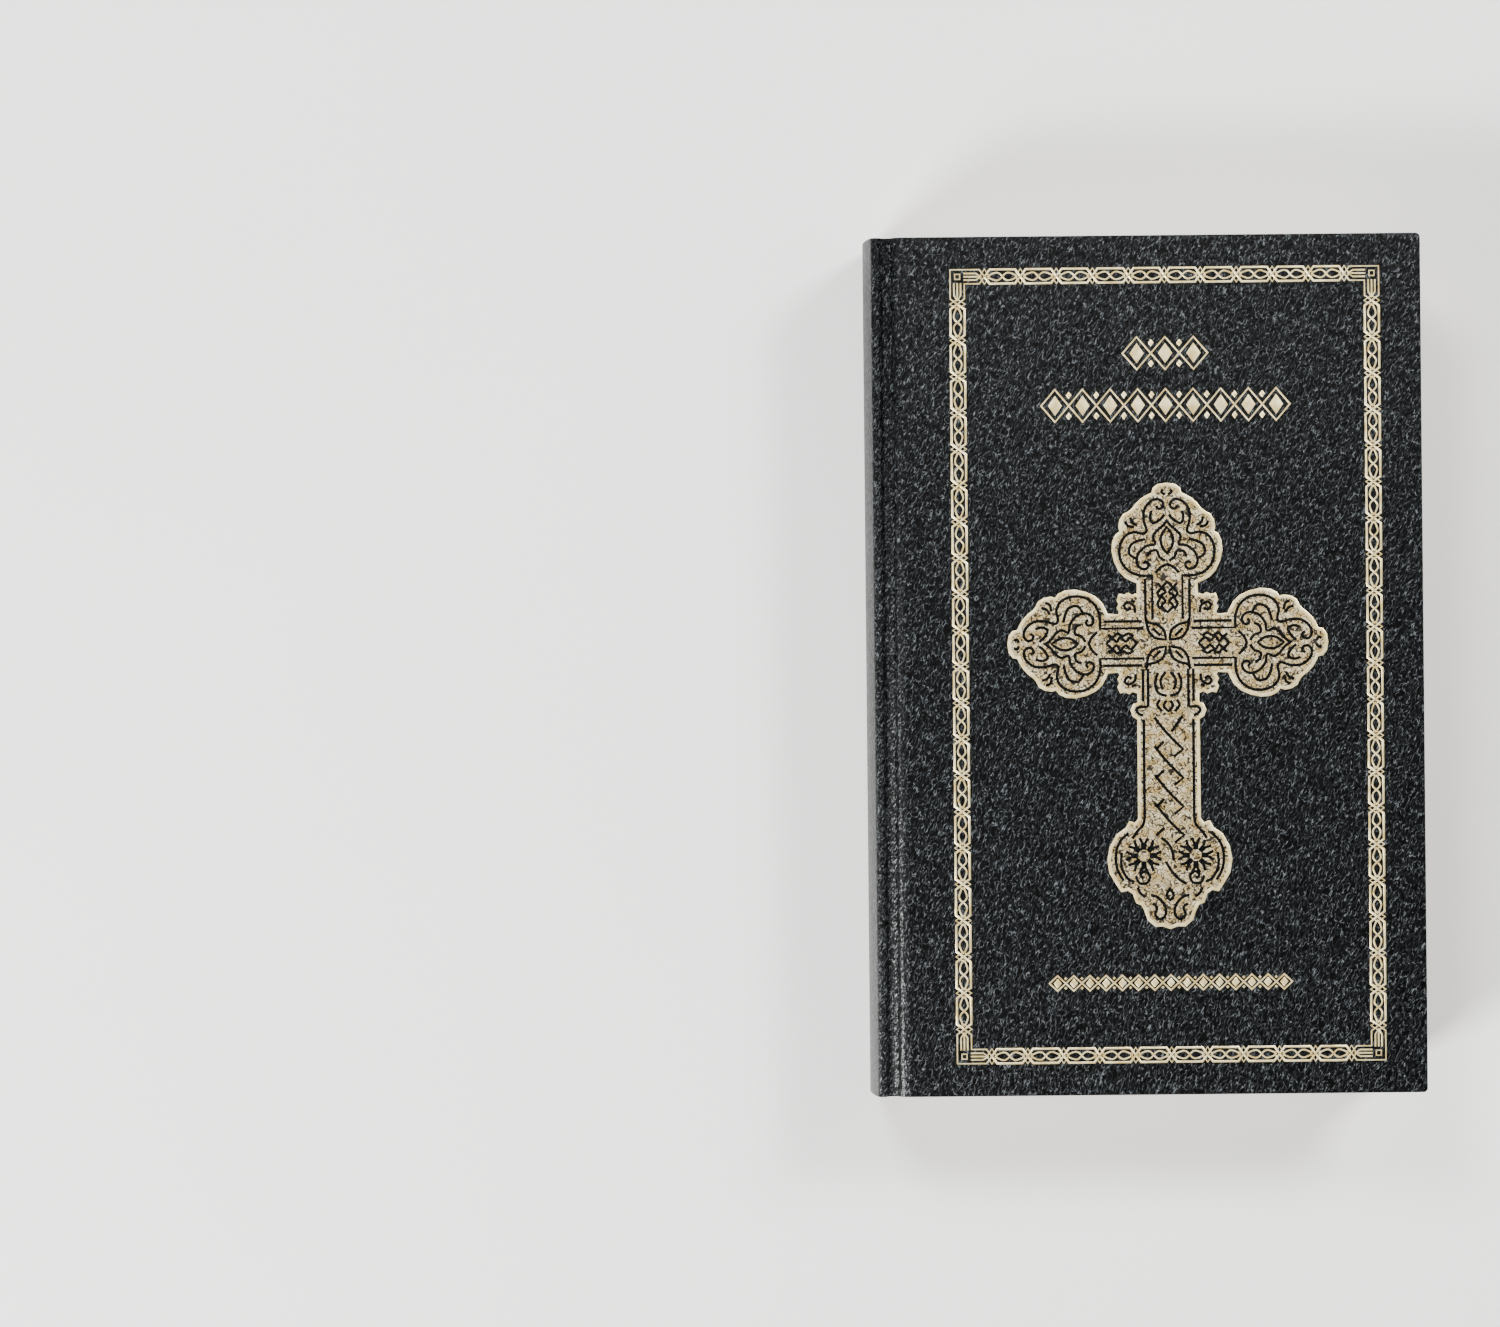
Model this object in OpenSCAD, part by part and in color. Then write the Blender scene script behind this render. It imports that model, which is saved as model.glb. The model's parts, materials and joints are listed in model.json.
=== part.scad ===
// Case-bound book lying on its back cover, spine towards -X, head towards +Y.
// The origin is under the middle of the closed book, and every size is in millimetres.

/* [Book] */
// Height of the covers, head to tail
book_h = 222; // [180:1:270]
// Width of the closed book, spine to fore-edge
cover_w = 143.5; // [110:0.5:180]
// Thickness of the closed book, back cover to the foil on the front cover
book_t = 38; // [28:0.5:52]

/* [Covers] */
// Thickness of the leatherette
cloth_t = 0.45; // [0.3:0.05:0.8]
// Thickness of the boards
board_t = 2.5; // [1.6:0.1:3.2]
// Width of the leatherette turned in over the board's inner face
turn_in = 14; // [8:1:20]
// Overhang of the covers past the page block
square = 3; // [1.5:0.25:5]
// Radius of the covers' outer corners
corner_r = 1.2; // [0.5:0.1:4]
// Distance from the hinge line to the board's spine edge
joint_w = 4.15; // [3.9:0.05:6]
// Width of the mull glued to each board
flange_w = 25; // [12:1:35]

/* [Spine] */
// Thickness of the card in the spine
inlay_t = 1.2; // [0.6:0.1:1.6]
// Bulge of the spine's outer face
spine_rise = 1.6; // [0.8:0.1:3]
// Radius of the ridge beside each groove
ridge_r = 1.3; // [0.9:0.1:1.6]
// Height of the spine card's edge above the hinge line
ridge_up = 1.5; // [0.8:0.1:2]
// Turn of the ridge towards the groove, past its highest point
ridge_turn = 35; // [20:1:45]
// Distance from the hinge line to the bottom of the groove
groove_x = 1.6; // [1.2:0.1:2.2]
// Height of the groove's bottom above the hinge line
groove_z = 0.8; // [0.7:0.05:1.2]
// Hollow between the spine card and the page block's lining
hollow = 0.75; // [0.55:0.05:1.5]
// Thickness of the paper lining on the page block's spine
lining_t = 0.3; // [0.1:0.05:0.6]
// Thickness of the mull
mull_t = 0.3; // [0.1:0.05:0.5]
// Mull left short of the page block at the head and at the tail
mull_short = 15; // [8:1:25]
// Paper lining left short of the page block at the head and at the tail
lining_short = 4; // [2:1:12]

/* [Pages] */
// Number of sewn signatures, an even number
signatures = 22; // [12:2:22]
// Thickness of the endpapers
paper_t = 0.2; // [0.1:0.05:0.3]
// Bulge of the page block's spine, which also hollows its fore-edge
block_rise = 1.6; // [0.5:0.1:3]
// Thickness of the sewing thread
thread_t = 0.4; // [0.2:0.05:0.6]
// Width of one row of stitches
stitch_w = 1.2; // [0.6:0.1:2]
// Number of sewing stations
stations = 7; // [4:1:10]
// Distance from the head and from the tail to the first sewing station
station_end = 14; // [8:1:25]
// Diameter of the headband's bead
headband_d = 1.5; // [1:0.1:2.2]

/* [Gold foil] */
// Thickness of the foil
foil_t = 0.1; // [0.05:0.05:0.2]
// Width of the border band
band_w = 4.3; // [3:0.1:7]
// Distance from the board's spine edge to the border
border_joint = 14; // [8:0.5:25]
// Distance from the fore-edge to the border
border_fore = 10.5; // [5:0.5:20]
// Distance from the head and from the tail to the border
border_end = 8.2; // [5:0.1:20]
// Length of one unit of the interlaced border
unit_l = 9.3; // [6:0.1:14]
// Height of one line of the upper ornament
title_h = 9; // [5:0.5:12]
// Width of the short line of the upper ornament
title_short_w = 22; // [12:1:40]
// Distance from the border to the middle of the short line
title_top = 22.3; // [14:0.1:30]
// Distance between the middles of the two lines
title_step = 13.4; // [10:0.1:20]
// Distance from the border's inside to the ends of the long line
title_side = 19.2; // [8:0.1:30]
// Height of the lower ornament
lower_h = 4.4; // [3:0.1:8]
// Distance from the border to the middle of the lower ornament
lower_up = 20.8; // [12:0.1:30]
// Distance from the border's inside to the ends of the lower ornament
lower_side = 20.1; // [8:0.1:30]
// Gap between the border and the ends of the cross's arms
cross_side = 10.5; // [5:0.5:20]
// Gap between the upper ornament and the cross
cross_top = 15.7; // [6:0.1:25]
// Gap between the cross and the lower ornament
cross_bottom = 12.4; // [6:0.1:25]

/* [Hidden] */
SIGNATURE_NAMES = [for (i = [1:signatures]) str("signature_", i < 10 ? "0" : "", i)];
CASE_NAMES = [
    "front_board", "back_board", "spine_inlay",
    "front_cover_leatherette", "back_cover_leatherette", "spine_leatherette",
    "front_joint_leatherette", "back_joint_leatherette",
    "foil_border", "foil_cross", "foil_upper_ornament", "foil_lower_ornament",
    "front_pastedown", "back_pastedown", "front_mull_flange", "back_mull_flange",
    "front_endpaper_joint", "back_endpaper_joint", "front_flyleaf", "back_flyleaf",
    "sewing_thread", "mull", "spine_paper_lining", "headband_head", "headband_tail"
];

eps = 0.05;                      // overlap of shapes that are joined into one solid
glue_gap = 0.03;                 // clearance of the thread to what it lies between
arc_steps = 12;                  // straight pieces in each half of the spine's curves
small_steps = 8;                 // straight pieces in each small curve

// covers: leatherette, board, turned-in leatherette and endpaper
cover_t = 2 * cloth_t + board_t + paper_t;
case_t = book_t - foil_t;
mid_z = case_t / 2;
spine_x = -cover_w / 2;
// the front hinge line; the back one is its mirror image in the plane z = mid_z
hinge_x = spine_x + cover_t;
hinge_z = case_t - cover_t;
board_x = hinge_x + joint_w;
cover_l = cover_w / 2 - board_x;
board_l = cover_l - cloth_t;
board_h = book_h - 2 * cloth_t;

// page block
block_h = book_h - 2 * square;
block_top = hinge_z - paper_t;
block_half = block_top - mid_z;
signature_t = 2 * block_half / signatures;
fold_r = signature_t / 2;
block_x = spine_x + cloth_t + inlay_t + hollow + lining_t + mull_t + thread_t;
block_r = (pow(block_half, 2) + pow(block_rise, 2)) / (2 * block_rise);
block_turn = asin((block_half - 0.3) / block_r);
fore_x = cover_w / 2 - square;
page_w = fore_x - block_x - block_rise;
fly_x = joint_w - 0.35;

// outline of the spine: one long arc between two small ridge arcs
card_half = hinge_z - mid_z + ridge_up;
spine_r = (pow(card_half, 2) + pow(spine_rise, 2)) / (2 * spine_rise);
spine_turn = asin(card_half / spine_r);
ridge_x = spine_x + spine_r - (spine_r - ridge_r) * cos(spine_turn);
ridge_z = mid_z + (spine_r - ridge_r) * sin(spine_turn);
ridge_end = 90 - ridge_turn;

// border, and the space inside it
border_x = board_x + border_joint;
border_l = cover_w / 2 - border_fore - border_x;
border_h = book_h - 2 * border_end;
foil_x = border_x + border_l / 2;
inside_w = border_l - 2 * band_w;
title_y = border_h / 2 - title_top;
title_2_y = title_y - title_step;
lower_y = -border_h / 2 + lower_up;

// the cross is drawn 81.6 wide and 114.3 high, and is scaled to the space it has
cross_w = 81.6;
cross_h = 114.3;
cross_arm = 41.3;
cross_space_top = title_2_y - title_h / 2 - cross_top;
cross_space_bottom = lower_y + lower_h / 2 + cross_bottom;
cross_space_h = cross_space_top - cross_space_bottom;
cross_scale = min((inside_w - 2 * cross_side) / cross_w, cross_space_h / cross_h);
cross_y = cross_space_top - (cross_space_h - cross_h * cross_scale) / 2 - cross_arm * cross_scale;

// ---- curves in the XZ plane, written as [x, z] ----

function reversed(list) = [for (i = [len(list) - 1:-1:0]) list[i]];
function mirrored(list) = [for (p = list) [p[0], 2 * mid_z - p[1]]];
function arc(x, z, r, from, to, steps) =
    [for (i = [0:steps]) let (a = from + (to - from) * i / steps) [x + r * cos(a), z + r * sin(a)]];
function bezier(a, b, c, d, t) =
    pow(1 - t, 3) * a + 3 * pow(1 - t, 2) * t * b + 3 * (1 - t) * pow(t, 2) * c + pow(t, 3) * d;
function bezier_way(a, b, c, d, t) =
    3 * pow(1 - t, 2) * (b - a) + 6 * (1 - t) * t * (c - b) + 3 * pow(t, 2) * (d - c);
// a point beside the curve, on its right-hand side
function beside(a, b, c, d, t, gap) =
    let (w = bezier_way(a, b, c, d, t)) bezier(a, b, c, d, t) + gap * [w[1], -w[0]] / norm(w);

// x of the page block's spine at a height
function fold_x(z) = block_x + block_r - sqrt(pow(block_r, 2) - pow(z - mid_z, 2));

// upper half of the spine's outline, a depth inside its outer face
function spine_half(depth) = concat(
    arc(spine_x + spine_r, mid_z, spine_r - depth, 180, 180 - spine_turn, arc_steps),
    [for (i = [1:small_steps])
        let (a = 180 - spine_turn + (ridge_end - 180 + spine_turn) * i / small_steps)
        [ridge_x + (ridge_r - depth) * cos(a), ridge_z + (ridge_r - depth) * sin(a)]]
);
function spine_line(depth) =
    concat(reversed(mirrored([for (i = [1:arc_steps + small_steps]) spine_half(depth)[i]])), spine_half(depth));

// a band of the spine's long arc, between two depths inside its outer face
function spine_band(from, to) =
    let (c = spine_x + spine_r, a = 180 - spine_turn, b = 180 + spine_turn)
    concat(arc(c, mid_z, spine_r - from, a, b, 2 * arc_steps), arc(c, mid_z, spine_r - to, b, a, 2 * arc_steps));

// a band along the page block's spine, between two distances out from the folds
function lining_band(from, to) =
    let (c = block_x + block_r, a = 180 - block_turn, b = 180 + block_turn)
    concat(arc(c, mid_z, block_r + from, a, b, 2 * arc_steps), arc(c, mid_z, block_r + to, b, a, 2 * arc_steps));

// outer line of the leatherette in the groove, from the ridge to the board, and the line a depth inside it
function groove_line(depth) =
    let (
        ridge = [ridge_x + ridge_r * cos(ridge_end), ridge_z + ridge_r * sin(ridge_end)],
        bottom = [hinge_x + groove_x, hinge_z + groove_z],
        edge = [board_x - cloth_t, case_t],
        ridge_pull = ridge + (bottom[0] - ridge[0]) * 0.55 * [sin(ridge_end), -cos(ridge_end)],
        left_pull = bottom - [(bottom[0] - ridge[0]) * 0.45, 0],
        right_pull = bottom + [(edge[0] - bottom[0]) * 0.45, 0],
        edge_pull = edge - [0, (edge[1] - bottom[1]) * 0.55]
    )
    concat(
        [for (i = [0:small_steps]) beside(ridge, ridge_pull, left_pull, bottom, i / small_steps, depth)],
        [for (i = [1:small_steps]) beside(bottom, right_pull, edge_pull, edge, i / small_steps, depth)]
    );

// ---- helpers ----

// extrudes an XZ outline along Y, centred
module along_y(length) {
    rotate([90, 0, 0]) linear_extrude(length, center = true) children();
}

// the same at the head end and at the tail end
module at_ends(y) {
    for (side = [-1, 1]) translate([0, side * y, 0]) children();
}

// a front piece's mirror image for the back of the book
module back() {
    translate([0, 0, 2 * mid_z]) mirror([0, 0, 1]) children();
}

// a block with one corner at its board edge, centred in Y
module slab(x, length, width, low, high) {
    translate([x, -width / 2, low]) cube([length, width, high - low]);
}

// a cover's outline, with its two fore-edge corners rounded
module cover_outline(height) {
    linear_extrude(height) difference() {
        translate([0, -book_h / 2]) square([cover_l, book_h]);
        for (side = [-1, 1]) translate([cover_l - corner_r, side * (book_h / 2 - corner_r)])
            difference() {
                translate([0, side > 0 ? 0 : -corner_r - 1]) square([corner_r + 1, corner_r + 1]);
                circle(corner_r, $fn = 48);
            }
    }
}

// ---- covers ----

module board_shape() {
    slab(board_x, board_l, board_h, hinge_z + paper_t + cloth_t, case_t - cloth_t);
}

module cover_leatherette_shape() {
    difference() {
        translate([board_x, 0, hinge_z + paper_t]) cover_outline(cover_t - paper_t);
        slab(board_x - 1, board_l + 1, board_h, hinge_z + paper_t + cloth_t, case_t - cloth_t);
        slab(board_x - 1, cover_l - turn_in + 1, book_h - 2 * turn_in, hinge_z, hinge_z + paper_t + cloth_t + eps);
    }
}

module joint_leatherette_shape() {
    along_y(book_h) polygon(concat(groove_line(0), reversed(groove_line(cloth_t))));
}

module mull_flange_shape() {
    slab(board_x, flange_w, block_h - 2 * mull_short, hinge_z + paper_t + cloth_t - mull_t, hinge_z + paper_t + cloth_t);
}

module pastedown_shape() {
    difference() {
        union() {
            slab(board_x, fore_x - board_x, block_h, hinge_z, hinge_z + paper_t);
            slab(board_x, cover_l - turn_in, book_h - 2 * turn_in, hinge_z, hinge_z + paper_t + cloth_t);
        }
        slab(board_x - 1, flange_w + 1, block_h - 2 * mull_short,
            hinge_z + paper_t + cloth_t - mull_t, hinge_z + cover_t);
    }
}

module front_board() { color("#8a7a62") board_shape(); }
module back_board() { color("#8a7a62") back() board_shape(); }
module front_cover_leatherette() { color("#24282a") cover_leatherette_shape(); }
module back_cover_leatherette() { color("#24282a") back() cover_leatherette_shape(); }
module front_joint_leatherette() { color("#1e2224") joint_leatherette_shape(); }
module back_joint_leatherette() { color("#1e2224") back() joint_leatherette_shape(); }
module front_mull_flange() { color("#d9d4c4") mull_flange_shape(); }
module back_mull_flange() { color("#d9d4c4") back() mull_flange_shape(); }
module front_pastedown() { color("#efe9da") pastedown_shape(); }
module back_pastedown() { color("#efe9da") back() pastedown_shape(); }

// ---- spine ----

module spine_leatherette() {
    color("#24282a") {
        along_y(book_h) polygon(concat(spine_line(0), reversed(spine_line(cloth_t))));
        // folded round the card's ends and turned in behind it
        at_ends((book_h - cloth_t) / 2) along_y(cloth_t) polygon(spine_band(cloth_t / 2, 2 * cloth_t + inlay_t));
        at_ends((book_h - turn_in) / 2) along_y(turn_in)
            polygon(spine_band(cloth_t + inlay_t, 2 * cloth_t + inlay_t));
    }
}

module spine_inlay() {
    color("#b3a98f") along_y(board_h) polygon(spine_band(cloth_t, cloth_t + inlay_t));
}

module sewing_thread() {
    color("#f2eee0")
        for (i = [0:stations - 1])
            translate([0, (block_h / 2 - station_end) * (2 * i / (stations - 1) - 1), 0])
                along_y(stitch_w) polygon(lining_band(glue_gap, thread_t - glue_gap));
}

module mull() {
    color("#d9d4c4") along_y(block_h - 2 * mull_short)
        polygon(lining_band(thread_t, thread_t + mull_t));
}

module spine_paper_lining() {
    color("#a98d66") along_y(block_h - 2 * lining_short)
        polygon(lining_band(thread_t + mull_t, thread_t + mull_t + lining_t));
}

// a round bead that lies on the page block's edge and follows its spine
module headband_shape(side) {
    translate([block_x + block_r, side * (block_h + headband_d) / 2, mid_z]) rotate([90, block_turn - 180, 0])
        rotate_extrude(angle = 2 * block_turn, $fn = 360)
            translate([block_r - headband_d / 2, 0]) circle(d = headband_d, $fn = 32);
}

module headband_head() { color("#e9e4d2") headband_shape(1); }
module headband_tail() { color("#e9e4d2") headband_shape(-1); }

// ---- endpapers and pages ----

// both leaves of the endpaper between the page block and the board
module endpaper_joint_shape() {
    edge = fold_x(block_top) + 0.1;
    slab(edge, board_x - edge, block_h, hinge_z, hinge_z + paper_t);
    slab(edge, hinge_x + fly_x - edge, block_h, hinge_z - paper_t, hinge_z + eps);
}

module flyleaf_shape() {
    slab(hinge_x + fly_x, fore_x - hinge_x - fly_x, block_h, hinge_z - paper_t, hinge_z);
}

module front_endpaper_joint() { color("#efe9da") endpaper_joint_shape(); }
module back_endpaper_joint() { color("#efe9da") back() endpaper_joint_shape(); }
module front_flyleaf() { color("#efe9da") flyleaf_shape(); }
module back_flyleaf() { color("#efe9da") back() flyleaf_shape(); }

// folded and sewn sheets, counted from the front cover; the fold is round
module signature(i) {
    z = block_top - (i - 0.5) * signature_t;
    x = fold_x(z);
    color(i % 2 == 0 ? "#f4efe1" : "#eee7d5")
        along_y(block_h) polygon(concat(
            arc(x + fold_r, z, fold_r, 90, 270, small_steps),
            [[x + page_w, z - fold_r], [x + page_w, z + fold_r]]
        ));
}

// ---- gold foil on the front cover ----

module on_cover() {
    translate([foil_x, 0, case_t]) linear_extrude(foil_t) children();
}

// a row of shapes from one point to another, evenly spaced
module row(from, to, count) {
    for (i = [0:count - 1]) translate(from + (to - from) * (i + 0.5) / count) children();
}

// one side of the border, pierced once in each unit
module border_piercings(length, across, turn) {
    count = round(length / unit_l);
    for (side = [-1, 1]) rotate(turn) translate([0, side * across])
        row([-length / 2, 0], [length / 2, 0], count) scale(band_w / 4.3) rotate(45) square(1.9, center = true);
}

module foil_border() {
    color("#efe3b0") on_cover() difference() {
        square([border_l, border_h], center = true);
        square([inside_w, border_h - 2 * band_w], center = true);
        border_piercings(inside_w, (border_h - band_w) / 2, 0);
        border_piercings(border_h - 2 * band_w, (border_l - band_w) / 2, 90);
    }
}

// one arm of the cross with its three-lobed end, pointing along +Y
module cross_bud(half_w) {
    translate([-half_w, 0]) square([2 * half_w, 30]);
    for (side = [-1, 1]) translate([side * 7.1, 23.5]) circle(6.6, $fn = 48);
    translate([0, 27]) circle(8.6, $fn = 48);
    translate([0, 34.3]) circle(7, $fn = 48);
}

// the long arm below the crossing: collar, shaft, bulb and drop
module cross_shaft() {
    translate([-7.4, -20]) square([14.8, 20]);
    translate([-9.2, -18.8]) square([18.4, 3.8]);
    translate([-7.7, -50]) square([15.4, 32]);
    for (side = [-1, 1]) translate([side * 8, -54.8]) circle(7.7, $fn = 48);
    translate([0, -54.8]) circle(8.9, $fn = 48);
    for (side = [-1, 1]) translate([side * 4.2, -65.4]) circle(4.1, $fn = 48);
    translate([0, -68]) circle(5, $fn = 48);
}

module foil_cross() {
    color("#d8bd7c") on_cover() translate([0, cross_y]) scale(cross_scale) {
        square(25.2, center = true);
        cross_bud(7.35);
        rotate(90) cross_bud(6.3);
        rotate(-90) cross_bud(6.3);
        cross_shaft();
    }
}

// a line of lozenges on a rule
module ornament_line(width, height) {
    count = max(3, 2 * floor(width / height / 2) + 1);
    square([width, height / 7], center = true);
    row([-width / 2, 0], [width / 2, 0], count) rotate(45) square(height / sqrt(2), center = true);
}

module foil_upper_ornament() {
    color("#efe3b0") on_cover() {
        translate([0, title_y]) ornament_line(title_short_w, title_h * 0.6);
        translate([0, title_2_y]) ornament_line(inside_w - 2 * title_side, title_h * 0.6);
    }
}

module foil_lower_ornament() {
    color("#efe3b0") on_cover() translate([0, lower_y]) ornament_line(inside_w - 2 * lower_side, lower_h);
}

front_board();
back_board();
spine_inlay();
front_cover_leatherette();
back_cover_leatherette();
spine_leatherette();
front_joint_leatherette();
back_joint_leatherette();
foil_border();
foil_cross();
foil_upper_ornament();
foil_lower_ornament();
front_pastedown();
back_pastedown();
front_mull_flange();
back_mull_flange();
front_endpaper_joint();
back_endpaper_joint();
front_flyleaf();
back_flyleaf();
sewing_thread();
mull();
spine_paper_lining();
headband_head();
headband_tail();
for (i = [1:signatures])
    signature(i);
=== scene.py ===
import json
import math
import random

import bpy
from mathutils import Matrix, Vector

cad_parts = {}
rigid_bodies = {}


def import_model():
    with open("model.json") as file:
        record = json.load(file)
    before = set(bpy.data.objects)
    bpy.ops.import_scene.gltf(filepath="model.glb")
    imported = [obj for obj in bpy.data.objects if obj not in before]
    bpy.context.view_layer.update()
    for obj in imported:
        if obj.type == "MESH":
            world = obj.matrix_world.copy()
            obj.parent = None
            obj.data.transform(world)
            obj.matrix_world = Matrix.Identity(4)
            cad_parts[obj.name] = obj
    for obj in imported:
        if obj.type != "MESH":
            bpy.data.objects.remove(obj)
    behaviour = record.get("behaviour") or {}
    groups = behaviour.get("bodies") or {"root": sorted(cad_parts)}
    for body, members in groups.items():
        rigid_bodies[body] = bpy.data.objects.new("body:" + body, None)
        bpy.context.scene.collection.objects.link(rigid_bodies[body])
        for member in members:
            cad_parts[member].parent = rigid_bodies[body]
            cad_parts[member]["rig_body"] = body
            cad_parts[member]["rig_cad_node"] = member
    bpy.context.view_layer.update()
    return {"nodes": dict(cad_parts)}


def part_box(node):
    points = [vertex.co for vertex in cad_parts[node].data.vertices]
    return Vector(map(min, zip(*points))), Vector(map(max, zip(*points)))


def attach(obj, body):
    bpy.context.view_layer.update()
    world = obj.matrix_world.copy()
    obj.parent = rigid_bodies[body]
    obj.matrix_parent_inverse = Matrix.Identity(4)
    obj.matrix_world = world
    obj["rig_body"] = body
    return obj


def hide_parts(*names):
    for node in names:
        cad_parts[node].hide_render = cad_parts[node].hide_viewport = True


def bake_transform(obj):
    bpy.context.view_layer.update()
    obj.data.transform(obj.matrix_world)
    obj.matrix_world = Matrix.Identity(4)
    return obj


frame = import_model()
mm = 0.001

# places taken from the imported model
boardLow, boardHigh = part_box("front_board")
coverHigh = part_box("front_cover_leatherette")[1]
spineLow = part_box("spine_leatherette")[0]
pasteLow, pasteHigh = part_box("front_pastedown")
midZ = coverHigh.z / 2                   # the book's mirror plane
hingeZ = pasteLow.z                      # both hinge lines run along Y at hingeX
coverThick = coverHigh.z - hingeZ
hingeX = spineLow.x + coverThick
halfTall = coverHigh.y


# small tools for modelling

def only(obj):
    if bpy.context.object and bpy.context.object.mode != "OBJECT":
        bpy.ops.object.mode_set(mode="OBJECT")
    bpy.ops.object.select_all(action="DESELECT")
    if obj:
        obj.select_set(True)
        bpy.context.view_layer.objects.active = obj
    return obj


def editAll(obj):
    only(obj)
    bpy.ops.object.mode_set(mode="EDIT")
    bpy.ops.mesh.select_all(action="SELECT")


def choose(obj, kind, test):
    # kind is edges or polygons, test gets the mesh's vertices and the item
    only(obj)
    mesh = obj.data
    for group in (mesh.vertices, mesh.edges, mesh.polygons):
        group.foreach_set("select", [False] * len(group))
    for item in getattr(mesh, kind):
        item.select = test([mesh.vertices[i].co for i in item.vertices])
    bpy.context.tool_settings.mesh_select_mode = (False, kind == "edges", kind == "polygons")
    bpy.ops.object.mode_set(mode="EDIT")


def applyModifier(obj, kind, **settings):
    only(obj)
    modifier = obj.modifiers.new(kind.title(), kind)
    for key, value in settings.items():
        setattr(modifier, key, value)
    bpy.ops.object.modifier_apply(modifier=modifier.name)
    return obj


def addCube(low, high):
    only(None)
    low, high = Vector(low), Vector(high)
    bpy.ops.mesh.primitive_cube_add(size=1, location=(low + high) / 2, scale=high - low)
    bpy.ops.object.transform_apply()
    return bpy.context.object


def cutAway(obj, cutter):
    applyModifier(obj, "BOOLEAN", operation="DIFFERENCE", solver="EXACT", object=cutter)
    only(cutter)
    bpy.ops.object.delete()
    return obj


def joinAll(pieces):
    only(pieces[0])
    for piece in pieces[1:]:
        piece.select_set(True)
    if len(pieces) > 1:
        bpy.ops.object.join()
    return bpy.context.object


def drawLines(lines):
    # each line is drawn by extruding one vertex from point to point
    only(None)
    bpy.ops.mesh.primitive_plane_add(size=mm)
    obj = bpy.context.object
    bpy.ops.object.mode_set(mode="EDIT")
    bpy.context.tool_settings.mesh_select_mode = (True, False, False)
    for number, line in enumerate(lines):
        if number:
            bpy.ops.mesh.primitive_plane_add(size=mm)
        bpy.ops.mesh.merge(type="CENTER")
        bpy.ops.transform.translate(value=line[0])
        for a, b in zip(line, line[1:]):
            bpy.ops.mesh.extrude_region_move(TRANSFORM_OT_translate={"value": Vector(b) - Vector(a)})
    bpy.ops.object.mode_set(mode="OBJECT")
    return obj


def sheetAlongY(outline, halfLength, steps=1):
    # outline is in XZ; the line is drawn at the tail and pulled to the head
    obj = drawLines([[(x, -halfLength, z) for x, z in outline]])
    editAll(obj)
    for _ in range(steps):
        bpy.ops.mesh.extrude_region_move(TRANSFORM_OT_translate={"value": (0, 2 * halfLength / steps, 0)})
    bpy.ops.mesh.select_all(action="SELECT")
    bpy.ops.mesh.remove_doubles(threshold=mm / 1000)
    bpy.ops.mesh.normals_make_consistent(inside=False)
    bpy.ops.object.mode_set(mode="OBJECT")
    return obj


def mirrorToBack(obj):
    # the back cover's piece is the front one's mirror image in the book's middle plane
    editAll(obj)
    bpy.ops.transform.resize(value=(1, 1, -1), center_override=(0, 0, midZ))
    bpy.ops.mesh.normals_make_consistent(inside=False)
    bpy.ops.object.mode_set(mode="OBJECT")
    return obj


def copyOf(obj):
    only(obj)
    bpy.ops.object.duplicate()
    return bpy.context.object


def finishPiece(obj, name, material, body=None, bend=None, replaced=(), smooth=35):
    only(obj)
    obj.name = name
    bpy.ops.object.transform_apply()
    bpy.ops.object.shade_smooth_by_angle(angle=math.radians(smooth))
    obj.data.materials.clear()
    obj.data.materials.append(material)
    # where each point is at rest, so that a pattern stays put when the piece bends
    places = obj.data.attributes.new("restPlace", "FLOAT_VECTOR", "POINT")
    places.data.foreach_set("vector", [c for v in obj.data.vertices for c in v.co])
    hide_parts(*replaced)
    if bend:
        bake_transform(obj)
    else:
        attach(obj, body)
    return obj


def arcPoints(x, z, radius, start, end, steps):
    angles = [math.radians(start + (end - start) * i / steps) for i in range(steps + 1)]
    return [(x + radius * math.cos(a), z + radius * math.sin(a)) for a in angles]


def bezierPoints(a, b, c, d, steps):
    points = []
    for i in range(steps + 1):
        t = i / steps
        k = ((1 - t) ** 3, 3 * t * (1 - t) ** 2, 3 * t * t * (1 - t), t ** 3)
        points.append(tuple(k[0] * p + k[1] * q + k[2] * r + k[3] * s for p, q, r, s in zip(a, b, c, d)))
    return points


def smoothPath(points, steps=4, closed=False):
    # a soft curve through the points
    count = len(points)
    path = []
    for i in range(count if closed else count - 1):
        near = [points[(i + k) % count if closed else min(max(i + k, 0), count - 1)] for k in (-1, 0, 1, 2)]
        for j in range(steps):
            t = j / steps
            path.append(tuple(
                0.5 * (2 * b + (c - a) * t + (2 * a - 5 * b + 4 * c - d) * t * t + (3 * b - a - 3 * c + d) * t ** 3)
                for a, b, c, d in zip(*near)))
    path.append(points[0] if closed else points[-1])
    return path


# materials

def linear(colour):
    parts = [int(colour[i:i + 2], 16) / 255 for i in (1, 3, 5)]
    return tuple(c / 12.92 if c <= 0.04045 else ((c + 0.055) / 1.055) ** 2.4 for c in parts) + (1,)


def addNode(tree, kind, settings=None, links=None):
    node = tree.nodes.new(kind)
    for key, value in (settings or {}).items():
        if isinstance(key, str) and hasattr(node, key):
            setattr(node, key, value)
        else:
            node.inputs[key].default_value = value
    for key, source in (links or {}).items():
        tree.links.new(source, node.inputs[key])
    return node


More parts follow.
